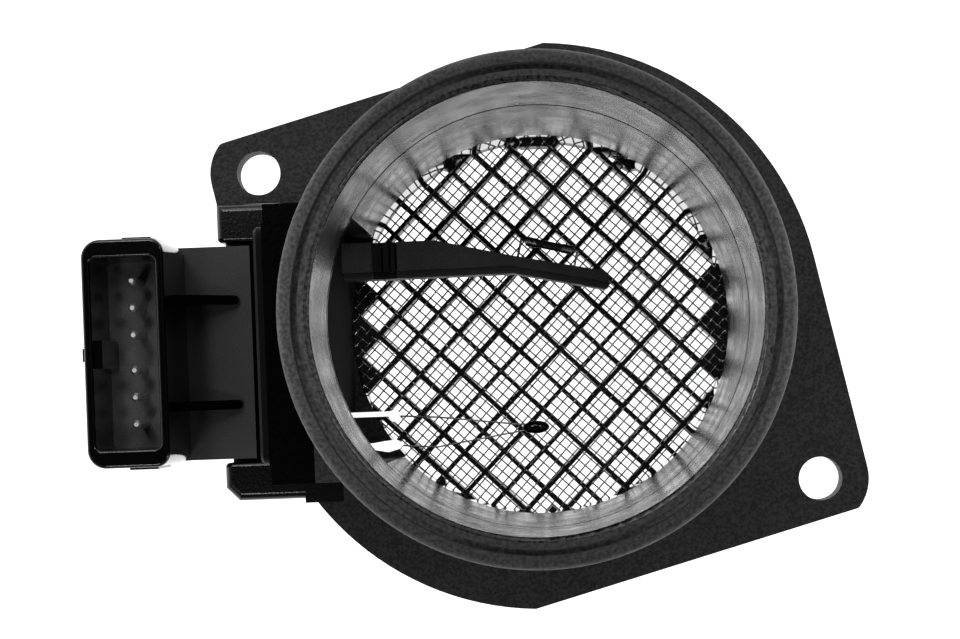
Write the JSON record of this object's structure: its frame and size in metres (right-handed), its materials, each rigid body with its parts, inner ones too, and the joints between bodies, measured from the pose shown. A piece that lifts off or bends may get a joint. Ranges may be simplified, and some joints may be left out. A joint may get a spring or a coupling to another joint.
{
  "type": "mass airflow sensor",
  "caption": "Moulded air duct with a bolt flange and hose lip, a lattice and wire screen at its inlet, and a plug-in sensor module with a connector socket and a sensing arm across the bore.",
  "frame": {"origin": "on the duct's bore axis in the plane of the flange's mounting face", "axes": "+Z along the duct from the flange towards the outlet hose end; -X from the axis towards the sensor module and its connector; +Y completes the frame"},
  "size_m": [0.1396, 0.1052, 0.085],
  "materials": {
    "duct_plastic": "fine spark-eroded grain",
    "grid_plastic": "moulded, plain",
    "cloth_steel": "drawn wire, bright",
    "ring_plastic": "moulded, plain",
    "seal_rubber": "matt rubber",
    "housing_plastic": "satin moulding",
    "cover_plastic": "satin moulding",
    "board_laminate": "solder-masked laminate",
    "chip_epoxy": "moulded epoxy",
    "capacitor_ceramic": "fired ceramic",
    "arm_plastic": "satin moulding",
    "arm_cover_plastic": "satin moulding",
    "element_ceramic": "glazed ceramic",
    "element_cap_steel": "pressed cap",
    "lead_wire": "bare wire",
    "bead_epoxy": "dipped epoxy, gloss",
    "conductor_brass": "stamped strip",
    "post_sleeve": "white sleeve, satin",
    "contact_metal": "tinned, bright"
  },
  "bodies": {
    "root": {"duct_body": "duct_plastic", "flow_grid": "grid_plastic", "wire_screen": "cloth_steel", "screen_ring": "ring_plastic", "inlet_seal": "seal_rubber", "sensor_housing": "housing_plastic", "housing_seal": "seal_rubber", "housing_cover": "cover_plastic", "circuit_board": "board_laminate", "signal_chip": "chip_epoxy", "filter_capacitor_1": "capacitor_ceramic", "filter_capacitor_2": "capacitor_ceramic", "sensor_arm": "arm_plastic", "arm_cover": "arm_cover_plastic", "heated_element": "element_ceramic", "element_cap_1": "element_cap_steel", "element_cap_2": "element_cap_steel", "element_lead_1": "lead_wire", "element_lead_2": "lead_wire", "air_temperature_bead": "bead_epoxy", "bead_lead_1": "lead_wire", "bead_lead_2": "lead_wire", "arm_conductor_1": "conductor_brass", "arm_conductor_2": "conductor_brass", "lead_post_1": "post_sleeve", "lead_post_2": "post_sleeve", "contact_pin_1": "contact_metal", "contact_pin_2": "contact_metal", "contact_pin_3": "contact_metal", "contact_pin_4": "contact_metal", "contact_pin_5": "contact_metal", "contact_pin_6": "contact_metal"}
  },
  "joints": []
}
